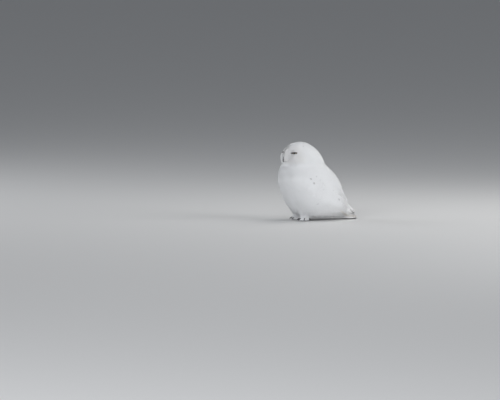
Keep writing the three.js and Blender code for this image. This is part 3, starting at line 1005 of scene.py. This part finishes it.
def wing_coordinates(points):
    """The t and b of each point, by its place in the side view."""
    t = np.linspace(0, 1, 81)
    axis, rise, breadth = wing_line(t)
    arms = points[:, None, 1:] - axis
    nearest = (arms**2).sum(axis=2).argmin(axis=1)
    rows = np.arange(len(points))
    return t[nearest], (arms[rows, nearest] * rise[nearest]).sum(axis=1) / breadth[nearest, 0]


def wing_place(t, b):
    """The place of t and b on the outside of the left wing."""
    axis, rise, breadth = wing_line(t)
    side = axis + rise * b[..., None] * breadth
    y, z = side[..., 0], side[..., 1]
    thick = WRIST_THICKNESS - TIP_THINNER * t
    on_trunk = trunk_half_width(y, z) - thick / 2 + WING_OVERLAP
    out = (on_trunk + WING_LEAST_OUT + np.hypot(on_trunk - WING_LEAST_OUT, WING_EASE_OUT)) / 2
    return np.stack((out + thick / 2, y, z), axis=-1)


def wing_spines(roots, tips, lanes, end_lanes, sink, steps):
    """Spines from t to t along lanes of b, sunk below the wing's surface, and the normals there.

    A sink is one depth, or a pair of depths for the root and the tip.
    """
    share = np.linspace(0, 1, steps + 1)[None]
    t = roots[:, None] + (tips - roots)[:, None] * share
    b = lanes[:, None] + (end_lanes - lanes)[:, None] * share
    small = 0.004
    ups = unit(np.cross(wing_place(t + small, b) - wing_place(t - small, b),
                        wing_place(t, b + small) - wing_place(t, b - small)))
    sink = np.reshape(sink, (len(roots), -1))
    sink = sink[:, :1] + (sink[:, -1:] - sink[:, :1]) * share
    return wing_place(t, b) - ups * sink[..., None], ups


WING_ENDS = wing_place(np.array([0.0, 1.0]), np.zeros(2))

# %% [markdown]
# ## The lie of the plumage
# Body feathers lie down and back. On the head they run back from the bill over the crown and down the
# nape. On the face they stand in rays round each eye. On the wings they follow the folded wing, on the
# legs they hang, and on the toes they run outwards.

# %% Say which way the feathers lie
AHEAD = np.array([math.sin(FACE_TURN), -math.cos(FACE_TURN), 0.0])
BODY_WAY = np.array([0.0, 0.62, -0.78])
WING_WAY = np.array([0.0, 0.86, -0.50])
VENT_WAY = np.array([0.0, 1.0, 0.10])
HEAD_WAY = np.array([0.0, 0.0, -0.35]) - AHEAD
DOWN_WAY = np.array([0.0, 0.0, -1.0])
EYE_PLACES = np.array([EYES["left"], EYES["right"]])
SOCKET_RADIUS = LID_RADIUS + 0.0006
ANKLE_X, ANKLE_Y = 0.040, -0.0892


def eye_distance(points):
    """How far each point is from the nearer eye, and the way from that eye."""
    arms = points[:, None] - EYE_PLACES
    gaps = np.linalg.norm(arms, axis=2)
    nearer = gaps.argmin(axis=1)
    rows = np.arange(len(points))
    return gaps[rows, nearer], arms[rows, nearer]


def leg_distance(points):
    """How far each point is from the nearer ankle, seen from above, and the way from it."""
    arms = points * (1, 1, 0)
    arms[:, 0] -= np.sign(points[:, 0]) * ANKLE_X
    arms[:, 1] -= ANKLE_Y
    return np.linalg.norm(arms, axis=1), arms


def lie(points, normals):
    """The way the plumage lies at each point."""
    side, height = np.abs(points[:, 0]), points[:, 2]
    to_eye, from_eye = eye_distance(points)
    to_leg, from_leg = leg_distance(points)
    t, b = wing_coordinates(points)
    on_wing = ease(0.045, 0.065, side) * ease(1.35, 0.85, np.abs(b)) * ease(0.0, 0.25, t)
    on_leg = ease(0.075, 0.055, height) * ease(0.050, 0.038, to_leg)
    way = np.tile(BODY_WAY, (len(points), 1))
    for new_way, share in (
        (WING_WAY, on_wing),
        (VENT_WAY, ease(0.085, 0.125, points[:, 1]) * ease(0.085, 0.055, height)),
        (HEAD_WAY, ease(0.262, 0.300, height)),
        (unit(from_eye), ease(0.046, 0.034, to_eye)),
        (DOWN_WAY, on_leg),
        (unit(from_leg) + 0.25 * DOWN_WAY, on_leg * ease(0.024, 0.014, height)),
    ):
        way = way + (new_way - way) * share[:, None]
    return along_surface(way, normals)


print("the lie at the wrist:", lie(WING_ENDS[:1], np.array([[1.0, 0, 0]])).round(2).tolist())


# %% Say which feathers grow where
def hood_line(points, height, slope):
    """The height of a line round the neck that climbs towards the nape."""
    return height + slope * np.clip(points[:, 1] + 0.13, 0, 0.2)


def is_head(points):
    """True on the hood."""
    return points[:, 2] > hood_line(points, 0.279, 0.06)


def is_face(points):
    """True on the facial disc, outside the eyes."""
    to_eye = eye_distance(points)[0]
    ahead = to_face(points)[1]
    return is_head(points) & (to_eye < 0.047) & (to_eye > SOCKET_RADIUS) & (ahead > 0.035)


def is_leg(points):
    """True on the legs and feet."""
    return (points[:, 2] < 0.062) & (leg_distance(points)[0] < 0.048) & (points[:, 1] < -0.045)


def is_wing(points):
    """True on the outside of a folded wing."""
    t, b = wing_coordinates(points)
    return (np.abs(points[:, 0]) > 0.050) & (b > -1.0) & (b < 0.82) & (t > 0.02)


def under_vanes(points):
    """True where the wing's long vanes lie over the skin, so nothing else grows."""
    t, b = wing_coordinates(points)
    return is_wing(points) & (np.abs(b) < 0.80) & (t > 0.50)


def in_socket(points):
    """True inside an eye socket, where nothing grows."""
    return eye_distance(points)[0] < SOCKET_RADIUS


def is_body(points):
    """True on the neck, trunk and wings, where feathers grow from the skin."""
    return ~(is_head(points) | is_leg(points) | under_vanes(points) | (on_tail(points) > 0.5))


def is_vent(points):
    """True under and beside the tail."""
    return (points[:, 1] > 0.075) & (points[:, 2] < 0.085)


def coat_lift(points):
    """How high the feather tips stand over the skin: lower on the hood and in the crease under it."""
    crease = hood_line(points, 0.283, 0.05)
    fold = 0.45 * hump(points[:, 2] - crease, 0.011) * ease(0.010, -0.050, points[:, 1])
    share = 1 - 0.12 * ease(0.285, 0.300, points[:, 2]) - fold
    return coat_depth(points) * share


COAT_STEPS = 5
COAT_WANDER = 0.14  # how far feathers stray from the lie, in radians


def coat(name, where, spacing, length, width, seed, lift=coat_lift, **shape):
    """A piece of coat: feathers of one kind scattered over one region."""
    rng = np.random.default_rng(seed)
    roots = scatter(where, spacing, seed)
    spines, ups = follow_skin(roots, sizes(len(roots), length, rng), COAT_STEPS, lie, COAT_WANDER, rng)
    feathers(name, spines, ups, sizes(len(roots), width, rng), lift, rng, **shape)


# %% [markdown]
# ## The coat
# The coat is laid region by region, because feathers differ: broad on the back, narrow and loose on the
# breast and vent, short on the head and tiny on the face. Roots stand closer than a feather is wide, so
# no skin shows.

# %% Body coat
BREAST_LINE = -0.075  # the y where the back's feathers end and the breast's begin
coat("coat_back", lambda p: is_body(p) & ~is_wing(p) & ~is_vent(p) & (p[:, 1] > BREAST_LINE),
     spacing=0.0042, length=0.029, width=0.0135, seed=11)
coat("coat_breast", lambda p: is_body(p) & ~is_wing(p) & (p[:, 1] <= BREAST_LINE),
     spacing=0.0036, length=0.028, width=0.0088, seed=12, taper=0.7, ragged=0.18, curl=0.01)
coat("coat_wings", lambda p: is_body(p) & is_wing(p),
     spacing=0.0047, length=0.032, width=0.0150, seed=13)
coat("coat_vent", lambda p: is_body(p) & ~is_wing(p) & is_vent(p),
     spacing=0.0045, length=0.034, width=0.0100, seed=14, taper=0.75, ragged=0.2, curl=0.01)

# %% Head coat
coat("coat_head", lambda p: is_head(p) & ~is_face(p) & ~in_socket(p),
     spacing=0.0029, length=0.0175, width=0.0058, seed=21, template=(2, 4), taper=0.7, ragged=0.15)
coat("coat_face", is_face,
     spacing=0.0017, length=0.0105, width=0.0026, seed=22, template=(2, 3), taper=0.8, ragged=0.1)


# %% Leg coat
def leg_lift(points):
    """How high the leg tufts stand: low on the toes, thick on the legs."""
    return 0.0030 + 0.0050 * ease(0.012, 0.034, points[:, 2])


coat("coat_legs", is_leg, spacing=0.0023, length=0.0140, width=0.0036, seed=31, lift=leg_lift,
     template=(2, 4), taper=0.8, ragged=0.1, curl=0.03)

# %% Fluff over the legs
FLUFF_SPACING, FLUFF_LENGTH, FLUFF_SHORTEST, FLUFF_WIDTH = 0.0024, 0.019, 0.006, 0.0028
FLUFF_ENDS_ABOVE = 0.010  # the fluff stops at this height, over the toes
FLUFF_STEPS = 6


def near_legs(points):
    """True where the belly's fluff hangs over the tops of the legs."""
    beside = leg_distance(points)[0] < 0.052
    return (points[:, 2] < 0.072) & beside & (points[:, 1] < -0.062) & ~is_leg(points)


def facing(way, spines):
    """The way that free feathers face, at right angles to their spines. It is given once for each."""
    tangents = unit(np.gradient(spines, axis=1))
    return along_surface(np.repeat(way[:, None], spines.shape[1], axis=1), tangents)


def trousers(name, seed):
    """Long loose fluff that hangs free of the belly, in front of and round the legs."""
    rng = np.random.default_rng(seed)
    roots, normals = onto_skin(scatter(near_legs, FLUFF_SPACING, seed))
    level = unit(normals * (1, 1, 0.05))
    start = unit(DOWN_WAY + 0.12 * level + rng.normal(0, 0.12, roots.shape))
    longest = (roots[:, 2] - FLUFF_ENDS_ABOVE) * 0.9
    lengths = np.clip(sizes(len(roots), FLUFF_LENGTH, rng, 0.5), FLUFF_SHORTEST, longest)
    spines = free_spines(roots, start, -0.25 * level, lengths, FLUFF_STEPS)
    widths = sizes(len(roots), FLUFF_WIDTH, rng)
    feathers(name, spines, facing(level, spines), widths, even_lift(0.0006), rng,
             template=(2, FLUFF_STEPS), taper=0.9, ragged=0.2, softness=0.9)


trousers("coat_trousers", 32)

# %% [markdown]
# ## Bristles and lids
# Stiff bristles stand out from the lores on both sides of the bill and bend down along it. They hide the
# bill but for its ridge and tip. A spine that would pass through the bill is moved out to its surface.
# Tiny tufts cover the lids up to the bare rims.

# %% Bristles round the bill
BILL_TREE = BVHTree.FromObject(bpy.data.objects["horn_bill_upper"], bpy.context.evaluated_depsgraph_get())
BILL_GAP = 0.0005
LORE_LOW, LORE_HIGH = 0.306, 0.366
RIDGE_HEIGHTS = (0.299, 0.307, 0.315, 0.321, 0.327, 0.333, 0.345, 0.360)
RIDGE_AHEAD = (0.1235, 0.1250, 0.1260, 0.1255, 0.1245, 0.1240, 0.1225, 0.1130)  # of the bristles' crest
BRISTLE_SPACING, BRISTLE_FALL, BRISTLE_WIDTH = 0.00125, 0.021, 0.0017
BRISTLE_STEPS = 5
LOWEST_BRISTLE = 0.3030
SIDEWAYS = np.array([math.cos(FACE_TURN), math.sin(FACE_TURN), 0.0])


def beside_bill(points):
    """True on the lores, the strip of face on each side of the bill. It narrows to the forehead."""
    out, ahead, height = to_face(points)
    half_width = 0.0165 - 0.011 * ease(0.344, LORE_HIGH, height)
    return (ahead > 0.08) & (np.abs(out) < half_width) & (height > LORE_LOW) & (height < LORE_HIGH)


def outside_bill(points):
    """The points, with those inside the bill moved out to its surface."""
    moved = points.reshape(-1, 3).copy()
    for index, point in enumerate(moved.tolist()):
        place, normal, _, _ = BILL_TREE.find_nearest(point)
        if (Vector(point) - place).dot(normal) < BILL_GAP:
            moved[index] = place + normal * BILL_GAP
    return moved.reshape(points.shape)


def bristles(name, seed):
    """The fans of bristles on the lores."""
    rng = np.random.default_rng(seed)
    roots, _ = onto_skin(scatter(beside_bill, BRISTLE_SPACING, seed))
    out, _, height = to_face(roots)
    sign = np.sign(out)[:, None]
    fall = sizes(len(roots), BRISTLE_FALL, rng, 0.3) * (1 - 0.6 * ease(0.008, 0.0165, np.abs(out)))
    fall *= 1 - 0.45 * ease(0.346, LORE_HIGH, height)
    level = np.maximum(height - fall, LOWEST_BRISTLE + rng.normal(0, 0.0015, len(roots)))
    level = np.minimum(level, height - 0.004)
    reach = np.interp(level, RIDGE_HEIGHTS, RIDGE_AHEAD) - 0.60 * np.abs(out)
    aside = np.sign(out) * (0.0016 + 0.36 * np.abs(out)) + rng.normal(0, 0.0009, len(roots))
    ends = np.array([from_face(*place) for place in zip(aside, reach, level)])
    gaps = np.linalg.norm(ends - roots, axis=1)[:, None]
    start = gaps * (0.60 * AHEAD + 0.05 * sign * SIDEWAYS + rng.normal(0, 0.06, (len(roots), 3)))
    spines = free_spines(roots, start, ends - roots - start, np.ones(len(roots)), BRISTLE_STEPS)
    spines = outside_bill(spines)
    turned = sign * ease(0.001, 0.016, np.abs(out))[:, None]
    widths = sizes(len(roots), BRISTLE_WIDTH, rng)
    feathers(name, spines, facing(turned * SIDEWAYS + 0.7 * AHEAD, spines), widths, even_lift(0.0), rng,
             template=(2, BRISTLE_STEPS), taper=0.9, ragged=0.1, rounding=0.1, softness=0.85)


bristles("coat_bristles", 23)

# %% Tufts on the lids
TUFTS_PER_LID = 260
TUFT_LENGTH, TUFT_WIDTH, TUFT_LIFT = 0.0055, 0.0019, 0.0013


def lid_tufts(name, seed):
    """Tufts on all four lids, lying away from the slit."""
    rng = np.random.default_rng(seed)
    spines, ups = [], []
    for (side, which), piece in lids.items():
        rim = np.array([d.value for d in piece.data.attributes["rim"].data])
        places = np.array([v.co for v in piece.data.vertices])
        centre = np.array(EYES[side])
        bare = (rim < 0.3) & (np.linalg.norm(places - centre, axis=1) > LID_RADIUS - 0.0002)
        roots = unit(places[bare] - centre)
        roots = roots[rng.permutation(len(roots))[:TUFTS_PER_LID]]
        upright = np.array([0.0, 0.0, 1.0 if which == "upper" else -1.0])
        heading = along_surface(upright + rng.normal(0, 0.15, roots.shape), roots)
        lengths = sizes(len(roots), TUFT_LENGTH, rng)[:, None, None]
        share = np.linspace(0, 1, 5)[None, :, None]
        arms = unit(roots[:, None] + heading[:, None] * lengths * share / LID_RADIUS)
        spines.append(centre + arms * (LID_RADIUS + 0.0002))
        ups.append(arms)
    spines, ups = np.concatenate(spines), np.concatenate(ups)
    feathers(name, spines, ups, sizes(len(spines), TUFT_WIDTH, rng), even_lift(TUFT_LIFT), rng,
             template=(2, 4), taper=0.8, ragged=0.1)


lid_tufts("coat_lids", 24)

# %% [markdown]
# ## Flight feathers
# The rear half of a folded wing is a stack of long vanes. Each vane lies over the one below it, so the
# stack thickens upwards. The tail is twelve vanes, with the middle pair on top. Vanes are stiff: flatter,
# straighter at the edge and more sharply ribbed than body feathers.

# %% Wing vanes
STIFF = dict(rounding=0.08, ragged=0.02, camber=0.07, roll=0.02, material=STIFF_VANE)
MIRROR = np.array((-1, 1, 1))
VANE_STEPS = 10
VANE_LIFT = 0.0010


def both_sides(values):
    """The left side's values, and the right side's after them."""
    return np.concatenate((values, values * MIRROR))


def vane_stack(name, count, roots, tips, lanes, end_lanes, sinks, tip_sinks, widths, seed):
    """A fan of stiff vanes on each wing. Pairs of numbers run from the lowest vane to the highest."""
    rng = np.random.default_rng(seed)
    share = np.linspace(0, 1, count)
    pairs = (roots, tips, lanes, end_lanes, sinks, tip_sinks, widths)
    roots, tips, lanes, end_lanes, sinks, tip_sinks, widths = (
        first + (last - first) * share for first, last in pairs)
    tips = tips + rng.normal(0, 0.004, count)
    sinks = np.stack((sinks, tip_sinks), axis=1)
    spines, ups = wing_spines(roots, tips, lanes, end_lanes, sinks, VANE_STEPS)
    feathers(name, both_sides(spines), both_sides(ups), np.tile(widths, 2), even_lift(VANE_LIFT), rng,
             template=(4, VANE_STEPS), **STIFF)


vane_stack("vanes_primary", 11, roots=(0.44, 0.40), tips=(0.965, 1.010), lanes=(-0.80, 0.20),
           end_lanes=(-1.60, 0.20), sinks=(0.0062, 0.0036), tip_sinks=(0.0008, -0.0030),
           widths=(0.018, 0.024), seed=41)
vane_stack("vanes_secondary", 13, roots=(0.40, 0.34), tips=(0.88, 0.74), lanes=(-0.45, 0.73),
           end_lanes=(-0.25, 0.78), sinks=(0.0034, 0.0012), tip_sinks=(0.0010, -0.0006),
           widths=(0.022, 0.026), seed=42)

# %% [markdown]
# ## Coverts, scapulars and flank feathers
# Coverts are the rows of feathers that roof the vanes' roots. They are laid from the rear row to the front
# one, each a little higher than the last, because the front rows overlap the rear ones. Scapulars hang
# from the shoulder over the wing's upper edge, and flank feathers fold up over its lower edge.

# %% Wing coverts
COVERT_LIFT = 0.0022
COVERT_STEPS = 6
COVERT_ROWS = (  # where the tips end, how long, how wide and how many across
    (0.790, 0.062, 0.0165, 15),
    (0.745, 0.056, 0.0155, 18),
    (0.700, 0.050, 0.0150, 20),
    (0.655, 0.044, 0.0145, 22),
    (0.610, 0.040, 0.0140, 24),
    (0.567, 0.036, 0.0140, 25),
    (0.525, 0.034, 0.0135, 25),
)


def wing_feathers(name, rows, widths, seed, **shape):
    """Feathers on both wings. A row is t and b at the root, t and b at the tip, and two sinks."""
    rng = np.random.default_rng(seed)
    root_t, root_b, tip_t, tip_b, *sinks = np.array(rows).T
    spines, ups = wing_spines(root_t, tip_t, root_b, tip_b, np.stack(sinks, axis=1), COVERT_STEPS)
    feathers(name, both_sides(spines), both_sides(ups), np.tile(widths, 2), even_lift(COVERT_LIFT), rng,
             template=(4, COVERT_STEPS), **shape)


def coverts(name, seed):
    """Seven rows of coverts across each wing."""
    rng = np.random.default_rng(seed)
    rows, widths = [], []
    for rank, (tip, length, width, lanes) in enumerate(COVERT_ROWS):
        for lane in np.linspace(-0.86, 0.77, lanes):
            end = tip - 0.05 * lane**2 - 0.03 * lane + rng.normal(0, 0.010)
            lane += rng.normal(0, 0.025)
            sink = 0.0022 - 0.00025 * rank
            rows.append((end - length / WING_LENGTH, lane, end, lane, sink, sink))
            widths.append(width)
    wing_feathers(name, rows, widths, seed, rounding=0.17, ragged=0.05, roll=0.02)


coverts("coat_coverts", 43)

# %% Feathers over the wing's edges
EDGE_WIDTH = 0.0125


def scapulars(name, seed):
    """Four ranks that hang from the shoulder and the back over the wing's upper edge."""
    rng = np.random.default_rng(seed)
    rows, widths = [], []
    for rank, reach in enumerate((0.52, 0.62, 0.72, 0.82)):
        for t in np.arange(0.24, 0.86, 0.010):
            t += rng.normal(0, 0.010)
            b = reach + rng.normal(0, 0.05)
            length = rng.uniform(0.070, 0.100)
            rows.append((t - length, b + 0.16, t, b, 0.0060, 0.0012 - 0.0005 * rank))
            widths.append(EDGE_WIDTH * rng.uniform(0.85, 1.15))
    wing_feathers(name, rows, widths, seed, taper=0.5, rounding=0.15, ragged=0.08, roll=0.02)


def flanks(name, seed):
    """Four ranks that rise from the flank over the wing's lower edge."""
    rng = np.random.default_rng(seed)
    rows, widths = [], []
    for rank, reach in enumerate((0.62, 0.76, 0.90, 1.04)):
        for t in np.arange(0.22, 0.90, 0.014):
            t += rng.normal(0, 0.005)
            b = -reach + rng.normal(0, 0.05)
            rows.append((t - 0.105, b - 0.50, t + 0.010, b, 0.0105, 0.0002 - 0.0008 * rank))
            widths.append(EDGE_WIDTH * rng.uniform(0.8, 1.2))
    wing_feathers(name, rows, widths, seed, taper=0.75, ragged=0.18, rounding=0.1, curl=0.01)


scapulars("coat_scapulars", 44)
flanks("coat_flanks", 45)

# %% Undertail feathers
UNDERTAIL_RANKS, UNDERTAIL_IN_RANK = 8, 12
UNDERTAIL_WIDTH, UNDERTAIL_LIFT, UNDERTAIL_STEPS = 0.0085, 0.0010, 6
UNDERTAIL_BULGE = 0.006
TAIL_SLOPE = 1.22
LOWEST_TIP = 0.006


def undertail(name, seed):
    """Loose white feathers that hide the tail's sides and underside nearly to its tip."""
    rng = np.random.default_rng(seed)
    roots, tips = [], []
    for rank in range(UNDERTAIL_RANKS):
        for place in np.linspace(0, 1, UNDERTAIL_IN_RANK):
            root = np.array([0.030 - 0.0008 * rank, 0.122 + 0.008 * place, 0.062 - 0.046 * place])
            tip = np.array([0.039 - 0.0006 * rank, 0.166 + 0.0065 * rank - 0.020 * (1 - place), 0.0])
            under_tail = TAIL_BASE[2] - (tip[1] - TAIL_BASE[1]) * TAIL_SLOPE - 0.002 - 0.024 * place
            tip[2] = max(under_tail, LOWEST_TIP)
            roots.append(root + rng.normal(0, (0.0002, 0.0022, 0.0022)))
            tips.append(tip + rng.normal(0, (0.0003, 0.0026, 0.0014)) + (0, 0, 0.001))
    roots, tips = both_sides(np.array(roots)), both_sides(np.array(tips))
    side = np.sign(roots[:, :1]) * np.array([[1.0, 0, 0]])
    start, bend = tips - roots + UNDERTAIL_BULGE * side, -UNDERTAIL_BULGE * side
    spines = free_spines(roots, start, bend, np.ones(len(roots)), UNDERTAIL_STEPS)
    widths = sizes(len(roots), UNDERTAIL_WIDTH, rng)
    feathers(name, spines, facing(side + (0, 0.15, 0.25), spines), widths, even_lift(UNDERTAIL_LIFT), rng,
             template=(3, UNDERTAIL_STEPS), taper=0.6, ragged=0.15, softness=0.85)


undertail("coat_undertail", 52)

# %% Tail vanes
TAIL_VANE_WIDTH = 0.026
TAIL_STEPS = 8
TAIL_PAIRS = (5, 4, 3, 2, 1, 0.35)  # how far out each pair lies, the lowest pair first


def tail_vanes(name, seed):
    """Twelve tail vanes, the middle pair on top, and the same vanes' undersides."""
    rng = np.random.default_rng(seed)
    spines, ups = [], []
    for face in (1, -1):
        for place in (sign * pair for pair in TAIL_PAIRS for sign in (1, -1)):
            share = np.linspace(0.10, 0.985 - 0.010 * abs(place), TAIL_STEPS + 1)[:, None]
            x = place * (0.0048 + 0.0016 * share)
            layer = (0.0056 - 0.0022 * share) * face - 0.00050 * abs(place) + 0.00012 * np.sign(place)
            arch = -0.0015 * (place / 5) ** 2
            line = TAIL_BASE + (TAIL_TIP - TAIL_BASE) * share
            spines.append(line + np.array([1.0, 0, 0]) * x + TAIL_UP * (layer + arch))
            ups.append(np.tile(unit(TAIL_UP + np.array([0.05 * place, 0, 0])), (TAIL_STEPS + 1, 1)) * face)
    spines, ups = np.array(spines), np.array(ups)
    widths = np.full(len(spines), TAIL_VANE_WIDTH)
    feathers(name, spines, ups, widths, even_lift(0.0005), rng, template=(6, TAIL_STEPS), **STIFF)


tail_vanes("vanes_tail", 51)

# %% Give the long vanes a thickness
VANE_THICKNESS = 0.0005
for name in ("vanes_primary", "vanes_secondary", "vanes_tail"):
    thicken = bpy.data.objects[name].modifiers.new("thickness", "SOLIDIFY")
    thicken.thickness = VANE_THICKNESS
